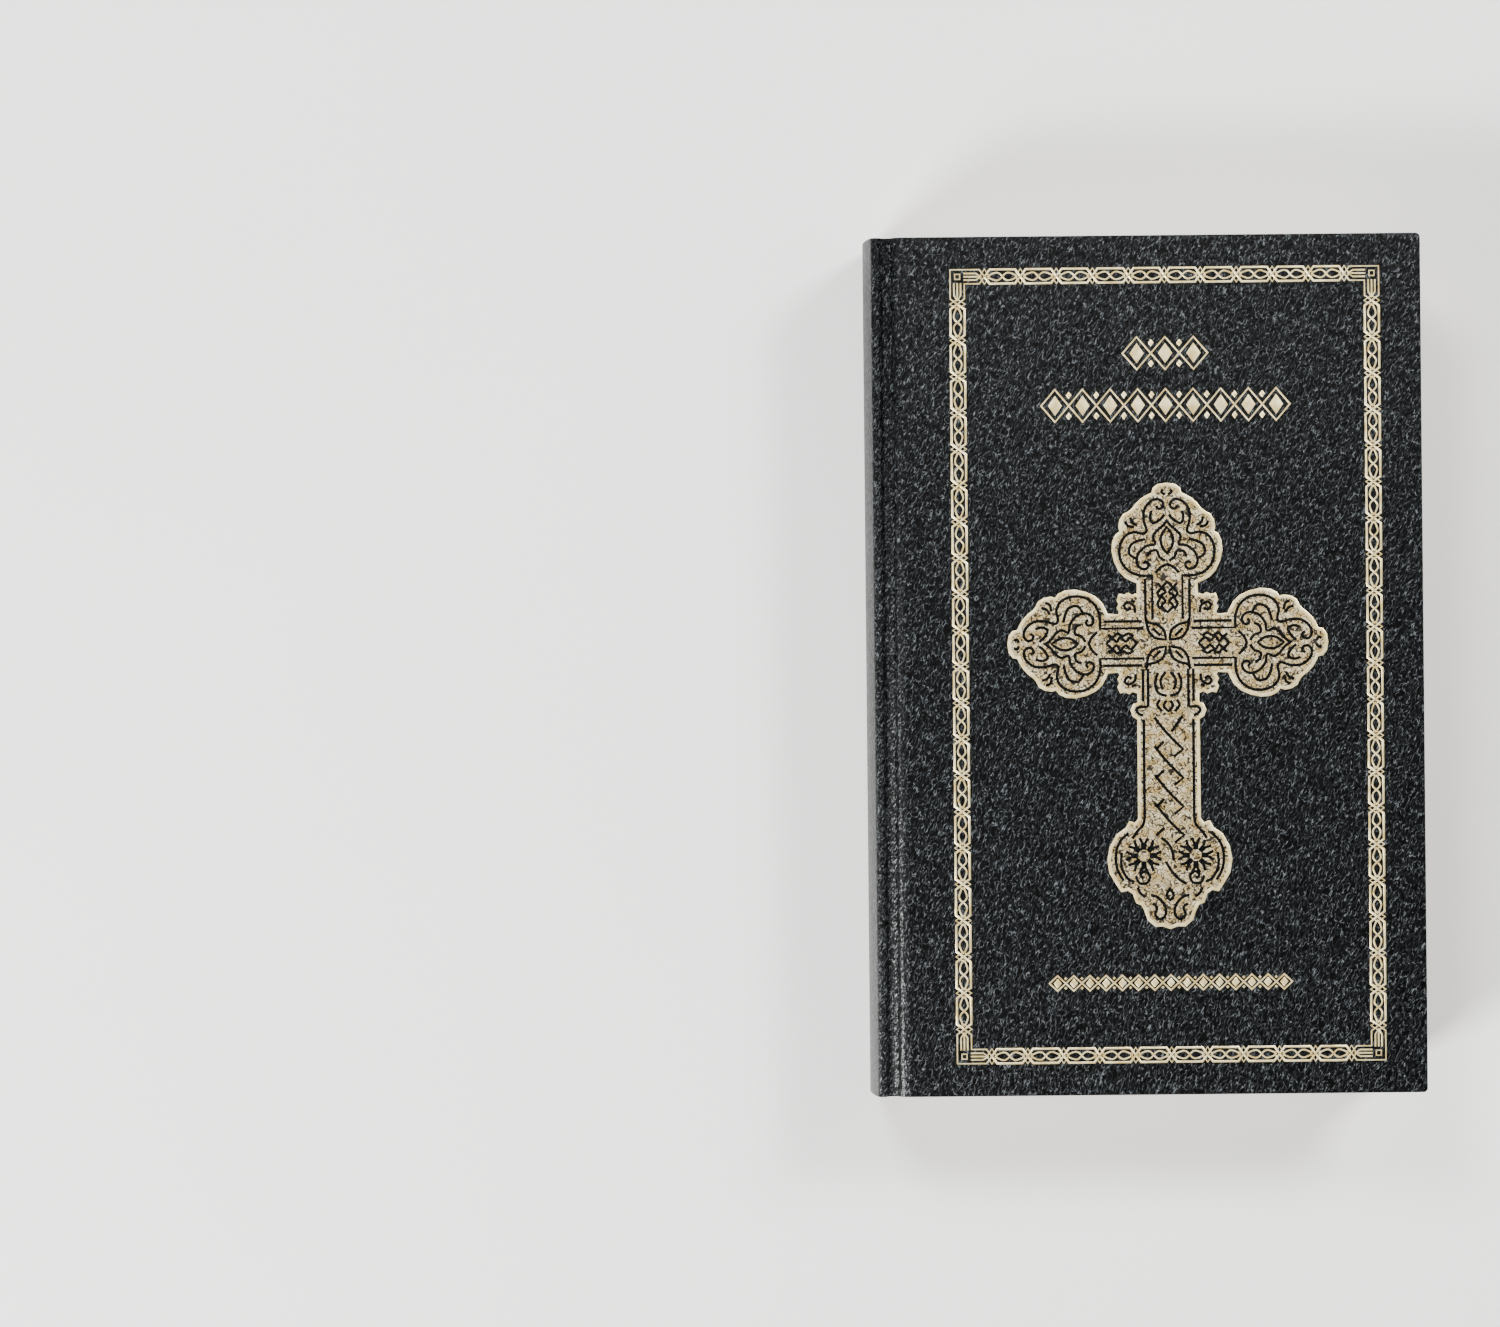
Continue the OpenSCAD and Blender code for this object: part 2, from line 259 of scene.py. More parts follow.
def startMaterial(name, atRest=True):
    # gives places in millimetres: as stored on the piece, or the CAD part's own
    material = bpy.data.materials.new(name)
    material.use_nodes = True
    tree = material.node_tree
    tree.nodes.clear()
    shader = addNode(tree, "ShaderNodeBsdfPrincipled")
    addNode(tree, "ShaderNodeOutputMaterial", {}, {"Surface": shader.outputs[0]})
    if atRest:
        place = addNode(tree, "ShaderNodeAttribute", {"attribute_name": "restPlace"}).outputs["Vector"]
    else:
        place = addNode(tree, "ShaderNodeTexCoord").outputs["Object"]
    inMm = addNode(tree, "ShaderNodeVectorMath", {"operation": "SCALE", "Scale": 1000}, {0: place})
    return material, tree, shader, inMm.outputs[0]


def mixColours(tree, share, low, high):
    return addNode(tree, "ShaderNodeMix", {"data_type": "RGBA", 6: linear(low), 7: linear(high)},
                   {0: share}).outputs[2]


def spread(tree, source, fromLow, fromHigh, toLow=0.0, toHigh=1.0):
    return addNode(tree, "ShaderNodeMapRange",
                   {"From Min": fromLow, "From Max": fromHigh, "To Min": toLow, "To Max": toHigh},
                   {"Value": source}).outputs[0]


def setShader(shader, **settings):
    for key, value in settings.items():
        shader.inputs[key.replace("_", " ")].default_value = value


leather = {
    "lean": 24,              # degrees that the grain leans to the right
    "grain": (0.66, 1.6),    # spacing and length of the creases, mm
    "depth": 0.2,            # mm
    # the first colour of each three is painted shade in the creases, the last is painted glints on the pebbles'
    # flanks
    "creaseShade": "#020202", "body": "#0a0b0c", "paintedGlint": "#62676a",
    "bare": ("#010101", "#040506", "#0e1011"),   # the same three where the gold is engraved away
    "polish": 1.0,           # gloss of the board's edge at the tail
    "ridgePolish": 0.3,      # share of it on the spine's ridge
    "ridgeWide": 1.5,        # mm
    "polishedEdge": 2.4,     # how far the polish reaches over the board, mm
    "polishedFade": 1.2,     # width over which it ends, mm
    "polishedTop": 70,       # and how far above the middle of the book, mm
}


def leatheretteGrain(tree, place):
    # long low pebbles; the painted glints run along each pebble's flank
    turned = addNode(tree, "ShaderNodeMapping", {"Rotation": (0, 0, math.radians(leather["lean"]))},
                     {"Vector": place})
    wide, long = leather["grain"]
    sized = addNode(tree, "ShaderNodeMapping", {"Scale": (1 / wide, 1 / long, 1 / wide)},
                    {"Vector": turned.outputs[0]})
    wobble = addNode(tree, "ShaderNodeTexNoise", {"Scale": 1.4, "Detail": 2}, {"Vector": sized.outputs[0]})
    pushed = addNode(tree, "ShaderNodeVectorMath", {"operation": "MULTIPLY_ADD", 1: (0.5, 0.5, 0.5)},
                     {0: wobble.outputs["Color"], 2: sized.outputs[0]})
    pebbles = addNode(tree, "ShaderNodeTexNoise", {"Scale": 1.0, "Detail": 1}, {"Vector": pushed.outputs[0]})
    return spread(tree, pebbles.outputs[0], 0.32, 0.68), pushed.outputs[0]


def makeLeatherette(name, creaseShade, body, paintedGlint):
    # paper-backed leatherette, embossed with a long pebble grain and lacquered: near black,
    # with painted shade darkening the creases and thin grey painted glints along the pebbles' flanks
    material, tree, shader, place = startMaterial(name)
    grain, pushed = leatheretteGrain(tree, place)
    fine = addNode(tree, "ShaderNodeTexNoise", {"Scale": 2.6, "Detail": 3}, {"Vector": pushed})
    glintScatter = addNode(tree, "ShaderNodeTexNoise", {"Scale": 0.8, "Detail": 2}, {"Vector": pushed})
    # painted shade: the creases are coloured darker than the body
    colour = mixColours(tree, spread(tree, grain, 0.1, 0.55), creaseShade, body)
    away = addNode(tree, "ShaderNodeMath", {"operation": "SUBTRACT", 1: 0.5}, {0: grain})
    flank = addNode(tree, "ShaderNodeMath", {"operation": "ABSOLUTE"}, {0: away.outputs[0]})
    # painted glints: thin grey dashes along the pebbles' flanks, shown where a noise lets them through
    glintMask = addNode(tree, "ShaderNodeMath", {"operation": "MULTIPLY"},
                     {0: spread(tree, flank.outputs[0], 0.12, 0.02),
                      1: spread(tree, glintScatter.outputs[0], 0.45, 0.66, 0.08, 1.0)})
    paintedGlints = addNode(tree, "ShaderNodeMix", {"data_type": "RGBA", 7: linear(paintedGlint)},
                       {0: glintMask.outputs[0], 6: colour})
    tree.links.new(paintedGlints.outputs[2], shader.inputs["Base Color"])
    tree.links.new(spread(tree, grain, 0, 1, 0.46, 0.3), shader.inputs["Roughness"])
    # hands polish the spine's ridge and the board's edge beside it, most of all toward the tail
    apart = addNode(tree, "ShaderNodeSeparateXYZ", {}, {0: place})
    edge = boardLow.x / mm + leather["polishedEdge"]
    across = addNode(tree, "ShaderNodeMath", {"operation": "MULTIPLY"},
                     {0: spread(tree, apart.outputs[0], edge, edge - leather["polishedFade"], 0,
                                leather["polish"]),
                      1: spread(tree, apart.outputs[0], spineLow.x / mm + leather["ridgeWide"], edge - 4,
                                leather["ridgePolish"])})
    handled = addNode(tree, "ShaderNodeMath", {"operation": "MULTIPLY"},
                      {0: across.outputs[0],
                       1: spread(tree, apart.outputs[1], leather["polishedTop"], -halfTall / mm)})
    tree.links.new(handled.outputs[0], shader.inputs["Coat Weight"])
    height = addNode(tree, "ShaderNodeMath", {"operation": "MULTIPLY_ADD", 1: 0.25},
                     {0: fine.outputs[0], 2: grain})
    bump = addNode(tree, "ShaderNodeBump", {"Strength": 0.9, "Distance": leather["depth"] * mm},
                   {"Height": height.outputs[0]})
    tree.links.new(bump.outputs[0], shader.inputs["Normal"])
    tree.links.new(bump.outputs[0], shader.inputs["Coat Normal"])
    # the matt lacquer takes most of the shine away elsewhere
    setShader(shader, IOR=1.46, Specular_IOR_Level=0.09, Coat_Roughness=0.28)
    return material


def makeFoil(name, low, high, engraved):
    # hot-stamped metallised foil over the grain: bright, a little broken up where the grain shows through
    material, tree, shader, place = startMaterial(name)
    grain = leatheretteGrain(tree, place)[0]
    cloud = addNode(tree, "ShaderNodeTexNoise", {"Scale": 0.45, "Detail": 4}, {"Vector": place})
    colour = mixColours(tree, spread(tree, cloud.outputs[0], 0.35, 0.65), low, high)
    if engraved:
        # engraved hatching: broken lines 0.2 mm wide and 1.2 mm apart, coarser than the real ones
        # so that they show
        swirl = addNode(tree, "ShaderNodeTexNoise", {"Scale": 0.55, "Detail": 1}, {"Vector": place})
        push = addNode(tree, "ShaderNodeVectorMath", {"operation": "MULTIPLY_ADD", 1: (4, 4, 0)},
                       {0: swirl.outputs["Color"], 2: place})
        leaves = addNode(tree, "ShaderNodeTexVoronoi", {"feature": "DISTANCE_TO_EDGE", "Scale": 0.85},
                         {"Vector": push.outputs[0]})
        line = spread(tree, leaves.outputs["Distance"], 0.05, 0.13)
        dark = addNode(tree, "ShaderNodeMix", {"data_type": "RGBA", 6: linear("#1c160c")}, {0: line, 7: colour})
        colour = dark.outputs[2]
        tree.links.new(spread(tree, line, 0, 1, 0.1, 0.8), shader.inputs["Metallic"])
    else:
        setShader(shader, Metallic=0.6)
    tree.links.new(colour, shader.inputs["Base Color"])
    tree.links.new(spread(tree, cloud.outputs[0], 0.3, 0.7, 0.28, 0.42), shader.inputs["Roughness"])
    bump = addNode(tree, "ShaderNodeBump", {"Strength": 0.35, "Distance": 0.05 * mm}, {"Height": grain})
    tree.links.new(bump.outputs[0], shader.inputs["Normal"])
    return material


def makePaper(name, low, high, atRest=True, fibre=1.2):
    # uncoated paper: matt, with soft clouds and short fibres that only show close up
    material, tree, shader, place = startMaterial(name, atRest)
    cloud = addNode(tree, "ShaderNodeTexNoise", {"Scale": 0.08, "Detail": 5}, {"Vector": place})
    long = addNode(tree, "ShaderNodeMapping", {"Scale": (fibre, fibre * 3.5, fibre)}, {"Vector": place})
    fibres = addNode(tree, "ShaderNodeTexNoise", {"Scale": 1.0, "Detail": 6, "Distortion": 1.5},
                     {"Vector": long.outputs[0]})
    both = addNode(tree, "ShaderNodeMath", {"operation": "MULTIPLY_ADD", 1: 0.5},
                   {0: fibres.outputs[0], 2: cloud.outputs[0]})
    tree.links.new(mixColours(tree, spread(tree, both.outputs[0], 0.5, 1.0), low, high),
                   shader.inputs["Base Color"])
    bump = addNode(tree, "ShaderNodeBump", {"Strength": 0.3, "Distance": 0.05 * mm},
                   {"Height": fibres.outputs[0]})
    tree.links.new(bump.outputs[0], shader.inputs["Normal"])
    setShader(shader, Roughness=0.85, IOR=1.5)
    return material


def makePages():
    # thin printing paper, trimmed in a stack: each sheet's edge is a line. Real sheets are
    # 0.04 mm thick, so the lines are drawn 0.3 mm apart to show
    material, tree, shader, place = startMaterial("trimmedPages")
    lines = addNode(tree, "ShaderNodeMapping", {"Scale": (0.02, 0.02, 1 / 0.3)}, {"Vector": place})
    sheets = addNode(tree, "ShaderNodeTexNoise", {"Scale": 1.6, "Detail": 4, "Roughness": 0.7},
                     {"Vector": lines.outputs[0]})
    cloud = addNode(tree, "ShaderNodeTexNoise", {"Scale": 0.05, "Detail": 4}, {"Vector": place})
    both = addNode(tree, "ShaderNodeMath", {"operation": "MULTIPLY_ADD", 1: 0.1},
                   {0: cloud.outputs[0], 2: sheets.outputs[0]})
    # the faces of the pages are even, and only the trimmed edges show the lines
    edges = addNode(tree, "ShaderNodeAttribute", {"attribute_name": "trimmed"}).outputs["Fac"]
    shown = addNode(tree, "ShaderNodeMix", {"data_type": "FLOAT", 2: 0.62}, {0: edges, 3: both.outputs[0]})
    tree.links.new(mixColours(tree, spread(tree, shown.outputs[0], 0.4, 0.68), "#a89872", "#f6efdf"),
                   shader.inputs["Base Color"])
    bump = addNode(tree, "ShaderNodeBump", {"Strength": 0.5, "Distance": 0.12 * mm},
                   {"Height": shown.outputs[0]})
    tree.links.new(bump.outputs[0], shader.inputs["Normal"])
    setShader(shader, Roughness=0.8, IOR=1.5)
    return material


def makeMull(name, atRest):
    # starched open gauze, 0.8 mm from thread to thread, soaked with glue between them
    material, tree, shader, place = startMaterial(name, atRest)
    height = None
    for axis in ("Y", "Z" if atRest else "X"):
        threads = addNode(tree, "ShaderNodeTexWave", {"bands_direction": axis, "Scale": math.pi / 10 / 0.8,
                                                      "Distortion": 0.6, "Detail": 1}, {"Vector": place})
        height = threads.outputs["Fac"] if height is None else addNode(
            tree, "ShaderNodeMath", {"operation": "MAXIMUM"}, {0: height, 1: threads.outputs["Fac"]}).outputs[0]
    tree.links.new(mixColours(tree, spread(tree, height, 0.55, 0.9), "#a39878", "#e6e1d0"),
                   shader.inputs["Base Color"])
    bump = addNode(tree, "ShaderNodeBump", {"Strength": 0.8, "Distance": 0.15 * mm}, {"Height": height})
    tree.links.new(bump.outputs[0], shader.inputs["Normal"])
    setShader(shader, Roughness=0.9)
    return material


def makeThread(name, low, high, pitch, axis):
    # wound or plied thread: light and dark turns that lie side by side along one axis
    material, tree, shader, place = startMaterial(name)
    turns = addNode(tree, "ShaderNodeTexWave", {"bands_direction": axis, "Scale": math.pi / 10 / pitch,
                                                "Distortion": 0.4, "Detail": 1}, {"Vector": place})
    fine = addNode(tree, "ShaderNodeTexWave", {"bands_direction": axis, "Scale": math.pi / 10 / pitch * 5},
                   {"Vector": place})
    tree.links.new(mixColours(tree, spread(tree, turns.outputs["Fac"], 0.4, 0.6), low, high),
                   shader.inputs["Base Color"])
    bump = addNode(tree, "ShaderNodeBump", {"Strength": 0.8, "Distance": 0.12 * mm},
                   {"Height": fine.outputs["Fac"]})
    tree.links.new(bump.outputs[0], shader.inputs["Normal"])
    setShader(shader, Roughness=0.6, Sheen_Weight=0.3)
    return material


# both leatherettes carry painted crease shade and painted glints in their colour
leatherette = makeLeatherette("embossedLeatherette", leather["creaseShade"], leather["body"], leather["paintedGlint"])
bareLeatherette = makeLeatherette("unfoiledLeatherette", *leather["bare"])
goldFoil = makeFoil("goldFoil", "#f0d389", "#fff0bd", False)
engravedFoil = makeFoil("engravedGoldFoil", "#e9c67e", "#fff0c6", True)
looseEndpaper = makePaper("looseEndpaper", "#e4dcc8", "#f4efe2")
gluedEndpaper = makePaper("gluedEndpaper", "#e4dcc8", "#f4efe2", atRest=False)
kraft = makePaper("kraftLining", "#8f7550", "#b89b72", fibre=0.8)
greyBoard = makePaper("greyBoard", "#7d7362", "#a0967f", atRest=False, fibre=0.6)
spineCard = makePaper("spineCard", "#a3987d", "#c4b99c", atRest=False, fibre=0.6)
pagePaper = makePages()
mullCloth = makeMull("mullOnSpine", True)
mullFlange = makeMull("mullOnBoard", False)
sewingCotton = makeThread("sewingCotton", "#d9d0b8", "#f6f1e3", 0.5, "Z")
headbandSilk = makeThread("headbandSilk", "#8c1f22", "#efe6cf", 1.6, "Z")

for node, material in {"front_board": greyBoard, "back_board": greyBoard, "spine_inlay": spineCard,
                       "front_pastedown": gluedEndpaper, "back_pastedown": gluedEndpaper,
                       "front_mull_flange": mullFlange, "back_mull_flange": mullFlange}.items():
    part = frame["nodes"][node]
    part.data.materials.clear()
    part.data.materials.append(material)
print("materials made")


# covers

covers = {
    "skin": 0.45 * mm,        # leatherette
    "turnIn": 14 * mm,
    "cornerRadius": 1.2 * mm,
    "jointRadius": 1.25 * mm, # the board's edge along the groove
    "edgeRadius": 0.45 * mm,
}
skinEdgeX = boardLow.x - covers["skin"]


def makeCoverSkin():
    top, bottom = coverHigh.z, hingeZ + pasteHigh.z - pasteLow.z - covers["skin"]
    skin = addCube((skinEdgeX, -halfTall, bottom), (coverHigh.x, halfTall, top))
    choose(skin, "edges", lambda v: all(p.x > coverHigh.x - mm for p in v) and abs(v[0].z - v[1].z) > mm)
    bpy.ops.mesh.bevel(offset=covers["cornerRadius"], segments=5)
    choose(skin, "edges", lambda v: all(p.x < skinEdgeX + mm / 10 and p.z > top - mm / 10 for p in v))
    bpy.ops.mesh.bevel(offset=covers["jointRadius"], segments=6)
    applyModifier(skin, "BEVEL", width=covers["edgeRadius"], segments=3, limit_method="ANGLE",
                  angle_limit=math.radians(50))
    # open toward the groove below the rounded edge, where the groove's strip closes it
    cutAway(skin, addCube((skinEdgeX - mm, boardLow.y, boardLow.z),
                          (boardHigh.x - mm, boardHigh.y, top - covers["jointRadius"])))
    cutAway(skin, addCube(boardLow, boardHigh))
    inset = covers["turnIn"]
    cutAway(skin, addCube((skinEdgeX - mm, inset - halfTall, bottom - mm),
                          (coverHigh.x - inset, halfTall - inset, boardLow.z + mm / 10)))
    return skin


frontSkin = makeCoverSkin()
backSkin = mirrorToBack(copyOf(frontSkin))
finishPiece(frontSkin, "frontCoverSkin", leatherette, "front_cover",
            replaced=["front_cover_leatherette"])
finishPiece(backSkin, "backCoverSkin", leatherette, "back_cover",
            replaced=["back_cover_leatherette"])
print("covers made")


# spine and grooves

spine = {
    "rise": 1.6 * mm,         # bulge of the outer face
    "ridgeRadius": 1.3 * mm,
    "ridgeUp": 1.5 * mm,      # the card's edge above the hinge line
    "ridgeTurn": 35,          # degrees past the ridge's highest point
    "grooveX": 1.6 * mm, "grooveZ": 0.8 * mm,
    "card": 1.2 * mm,
    "turnIn": 14 * mm,
}
cardHalf = hingeZ - midZ + spine["ridgeUp"]
spineRadius = (cardHalf ** 2 + spine["rise"] ** 2) / (2 * spine["rise"])
spineTurn = math.degrees(math.asin(cardHalf / spineRadius))
ridgeX = spineLow.x + spineRadius - (spineRadius - spine["ridgeRadius"]) * math.cos(math.radians(spineTurn))
ridgeZ = midZ + (spineRadius - spine["ridgeRadius"]) * math.sin(math.radians(spineTurn))


def spineArc(depth, reach=1.0):
    return arcPoints(spineLow.x + spineRadius, midZ, spineRadius - depth, 180 + spineTurn * reach,
                     180 - spineTurn * reach, 40)


def spineBand(fromDepth, toDepth, halfLength, low, reach=1.0):
    # a closed band along the spine's long curve
    outline = spineArc(fromDepth, reach) + spineArc(toDepth, reach)[::-1]
    band = sheetAlongY(outline + outline[:1], halfLength)
    editAll(band)
    bpy.ops.mesh.select_all(action="DESELECT")
    bpy.ops.mesh.select_non_manifold()
    bpy.ops.mesh.edge_face_add()
    bpy.ops.mesh.select_all(action="SELECT")
    bpy.ops.mesh.normals_make_consistent(inside=False)
    bpy.ops.transform.translate(value=(0, low + halfLength, 0))
    bpy.ops.object.mode_set(mode="OBJECT")
    return band


def makeSpineSkin():
    skin = sheetAlongY(spineArc(0), halfTall, 6)
    applyModifier(skin, "SOLIDIFY", thickness=covers["skin"], offset=-1, use_even_offset=True)
    parts = [skin]
    whole = 2 * covers["skin"] + spine["card"]
    for side in (-1, 1):
        # folded over the card's end, then turned in behind it
        cap = spineBand(0.02 * mm, whole, covers["skin"] / 2,
                        halfTall - covers["skin"] if side > 0 else -halfTall)
        applyModifier(cap, "BEVEL", width=0.16 * mm, segments=2, limit_method="ANGLE",
                      angle_limit=math.radians(50))
        back = spineBand(whole - covers["skin"], whole, spine["turnIn"] / 2,
                         halfTall - spine["turnIn"] - 0.1 * mm if side > 0 else 0.1 * mm - halfTall)
        parts += [cap, back]
    return joinAll(parts)


# the soft ridge starts at the card's edge, the groove's two slopes meet at its bottom
ridge = arcPoints(ridgeX, ridgeZ, spine["ridgeRadius"], 180 - spineTurn, 90 - spine["ridgeTurn"], 16)
ridgeStart, ridgeEnd = ridge[0], ridge[-1]
grooveBottom = (hingeX + spine["grooveX"], hingeZ + spine["grooveZ"])
boardEdge = (skinEdgeX - 0.01 * mm, coverHigh.z - covers["jointRadius"])


def makeGroove(spineSide):
    if spineSide:
        gap = grooveBottom[0] - ridgeEnd[0]
        down = math.radians(90 - spine["ridgeTurn"])
        line = ridge[:-1] + bezierPoints(
            ridgeEnd, (ridgeEnd[0] + 0.55 * gap * math.sin(down), ridgeEnd[1] - 0.55 * gap * math.cos(down)),
            (grooveBottom[0] - 0.45 * gap, grooveBottom[1]), grooveBottom, 12)
    else:
        gap = boardEdge[0] - grooveBottom[0]
        line = bezierPoints(grooveBottom, (grooveBottom[0] + 0.5 * gap, grooveBottom[1]),
                            (boardEdge[0], boardEdge[1] - 0.6 * (boardEdge[1] - grooveBottom[1])), boardEdge, 14)
    strip = sheetAlongY(line, halfTall - 0.02 * mm, 2)
    return applyModifier(strip, "SOLIDIFY", thickness=covers["skin"], offset=-1, use_even_offset=True)


finishPiece(makeSpineSkin(), "spineSkin", leatherette, "spine", replaced=["spine_leatherette"])


def atFront(point):
    return (point[0], 0, point[1])


def atBack(point):
    return (point[0], 0, 2 * midZ - point[1])


ridgeStrip, boardStrip = makeGroove(True), makeGroove(False)
backRidgeStrip, backBoardStrip = mirrorToBack(copyOf(ridgeStrip)), mirrorToBack(copyOf(boardStrip))
finishPiece(ridgeStrip, "frontGrooveSpineSide", leatherette,
            bend=("spine", "front_pages", atFront(ridgeStart), atFront(grooveBottom)),
            replaced=["front_joint_leatherette", "spine_leatherette"])
finishPiece(boardStrip, "frontGrooveBoardSide", leatherette,
            bend=("front_pages", "front_cover", atFront(grooveBottom), atFront((boardEdge[0], grooveBottom[1]))),
            replaced=["front_joint_leatherette"])
finishPiece(backRidgeStrip, "backGrooveSpineSide", leatherette,
            bend=("spine", "back_pages", atBack(ridgeStart), atBack(grooveBottom)),
            replaced=["back_joint_leatherette"])
finishPiece(backBoardStrip, "backGrooveBoardSide", leatherette,
            bend=("back_pages", "back_cover", atBack(grooveBottom), atBack((boardEdge[0], grooveBottom[1]))),
            replaced=["back_joint_leatherette"])
print("spine made")


# pages

pages = {
    "count": 22,
    "bend": 1.5,              # length of the curve into the gutter for each unit of height
    "cuts": 15,               # divisions across that curve
    "foldRadius": 0.6 * mm,
    "edgeRadius": 0.09 * mm,
    "uneven": 0.12 * mm,      # how far a signature may stand back from its neighbours
    "foreEdge": 4 * mm,       # width of the fore-edge that stands back
    "rise": 1.6 * mm,         # of the round spine, and hollow of the fore-edge
}
lowSheet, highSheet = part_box("signature_01"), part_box("signature_11")
blockHalf = highSheet[0].z - midZ + 11 * (lowSheet[1].z - lowSheet[0].z)
slope = pages["bend"] * blockHalf / (1 + pages["bend"] ** 2)
gutter = {
    "front": ("front_pages", "spine", (hingeX, 0, hingeZ), (hingeX - slope, 0, hingeZ - slope * pages["bend"])),
    "back": ("back_pages", "spine", (hingeX, 0, 2 * midZ - hingeZ),
             (hingeX - slope, 0, 2 * midZ - hingeZ + slope * pages["bend"])),
}


def foldShift(z):
    # how far the block's hollow fore-edge and round spine go in at a height
    radius = (blockHalf ** 2 + pages["rise"] ** 2) / (2 * pages["rise"])
    return radius - math.sqrt(radius ** 2 - (z - midZ) ** 2)


def makeSignature():
    low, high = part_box("signature_11")
    sheet = addCube(low, high)
    choose(sheet, "edges", lambda v: all(p.x < low.x + mm / 10 for p in v) and abs(v[0].y - v[1].y) > mm)
    bpy.ops.mesh.bevel(offset=pages["foldRadius"], segments=5)
    bendEnd = hingeX + pages["bend"] * blockHalf
    firstCut = low.x + 1.5 * pages["foldRadius"]
    places = [firstCut + (bendEnd - low.x) * i / pages["cuts"] for i in range(pages["cuts"] + 1)]
    places += [bendEnd + (high.x - bendEnd) * k for k in (0.2, 0.45, 0.75)]
    for x in places:
        bpy.ops.mesh.select_all(action="SELECT")
        bpy.ops.mesh.bisect(plane_co=(x, 0, 0), plane_no=(1, 0, 0), threshold=mm / 10000)
    applyModifier(sheet, "BEVEL", width=pages["edgeRadius"], segments=1, limit_method="ANGLE",
                  angle_limit=math.radians(60))
    return sheet


pattern = makeSignature()
patternLow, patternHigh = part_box("signature_11")
random.seed(7)
for number in range(1, pages["count"] + 1):
    node = f"signature_{number:02d}"
    low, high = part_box(node)
    sheet = copyOf(pattern)
    editAll(sheet)
    bpy.ops.transform.translate(value=(0, 0, low.z - patternLow.z))
    bpy.ops.object.mode_set(mode="OBJECT")
    back = random.uniform(0, pages["uneven"])
    for vertex in sheet.data.vertices:
        # follows the round spine and the hollow fore-edge
        vertex.co.x += foldShift(vertex.co.z) - foldShift((patternLow.z + patternHigh.z) / 2)
        if vertex.co.x > high.x - pages["foreEdge"]:
            vertex.co.x -= back
    trimmed = sheet.data.attributes.new("trimmed", "FLOAT", "FACE")
    trimmed.data.foreach_set("value", [1 - abs(face.normal.z) for face in sheet.data.polygons])
    half = "front" if number <= pages["count"] / 2 else "back"
    finishPiece(sheet, f"pages{number:02d}", pagePaper, bend=gutter[half], replaced=[node])
only(pattern)
bpy.ops.object.delete()


def halfOfNode(node, half):
    # a copy of the CAD part, cut at the book's middle plane
    part = copyOf(frame["nodes"][node])
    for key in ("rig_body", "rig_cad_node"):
        del part[key]
    part.parent = None
    part.hide_render = False
    part.hide_viewport = False
    editAll(part)
    bpy.ops.mesh.remove_doubles(threshold=mm / 1000)
    bpy.ops.mesh.bisect(plane_co=(0, 0, midZ), plane_no=(0, 0, 1), use_fill=True, threshold=mm / 100000,
                        clear_inner=half == "front", clear_outer=half == "back")
    bpy.ops.object.mode_set(mode="OBJECT")
    return part


linings = {
    "mull": (mullCloth, "mull"), "spine_paper_lining": (kraft, "kraft_lining"),
    "sewing_thread": (sewingCotton, "thread"),
    "headband_head": (headbandSilk, "headband"), "headband_tail": (headbandSilk, "headband"),
}
for node, (material, slot) in linings.items():
    pieces = {half: halfOfNode(node, half) for half in ("front", "back")}
    for half, piece in pieces.items():
        finishPiece(piece, f"{node}_{half}", material, bend=gutter[half], replaced=[node])
print("pages made")


# endpapers

endpapers = {
    "thick": 0.2 * mm,
    "loose": 9.5 * mm,        # width over which the flyleaf curves up out of the joint
    "cuts": 12, "jointCuts": 8,
    "clear": 0.02 * mm,       # from the flyleaf to its neighbours
}
leafLow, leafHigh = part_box("front_flyleaf")


def makeSheet(low, high, cutPlaces):
    sheet = addCube(low, high)
    for x in cutPlaces:
        editAll(sheet)
        bpy.ops.mesh.bisect(plane_co=(x, 0, 0), plane_no=(1, 0, 0), threshold=mm / 10000)
        bpy.ops.object.mode_set(mode="OBJECT")
    return sheet


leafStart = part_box("front_endpaper_joint")[0].x
cuts, jointCuts = endpapers["cuts"], endpapers["jointCuts"]
flyleaf = makeSheet((leafStart, leafLow.y, leafLow.z + endpapers["clear"]),
                    (leafHigh.x, leafHigh.y, leafHigh.z - endpapers["clear"]),
                    [leafStart + endpapers["loose"] * i / cuts for i in range(1, cuts + 1)] +
                    [leafStart + (leafHigh.x - leafStart) * k for k in (0.4, 0.7)])
jointSheet = makeSheet((leafStart, leafLow.y, hingeZ), (boardLow.x, leafHigh.y, hingeZ + endpapers["thick"]),
                       [hingeX + (boardLow.x - hingeX) * i / jointCuts for i in range(jointCuts)])
backFlyleaf, backJointSheet = mirrorToBack(copyOf(flyleaf)), mirrorToBack(copyOf(jointSheet))
for half, leaf, joint, z in (("front", flyleaf, jointSheet, hingeZ),
                             ("back", backFlyleaf, backJointSheet, 2 * midZ - hingeZ)):
    finishPiece(leaf, f"{half}FlyleafSheet", looseEndpaper,
                bend=(f"{half}_pages", f"{half}_leaf", (hingeX + 0.4 * mm, 0, z),
                      (leafStart + endpapers["loose"], 0, z)),
                replaced=[f"{half}_flyleaf"])
    finishPiece(joint, f"{half}JointSheet", looseEndpaper,
                bend=(f"{half}_pages", f"{half}_cover", (hingeX + 0.4 * mm, 0, z), (boardLow.x, 0, z)),
                replaced=[f"{half}_endpaper_joint"])
print("endpapers made")


# gold on the front cover

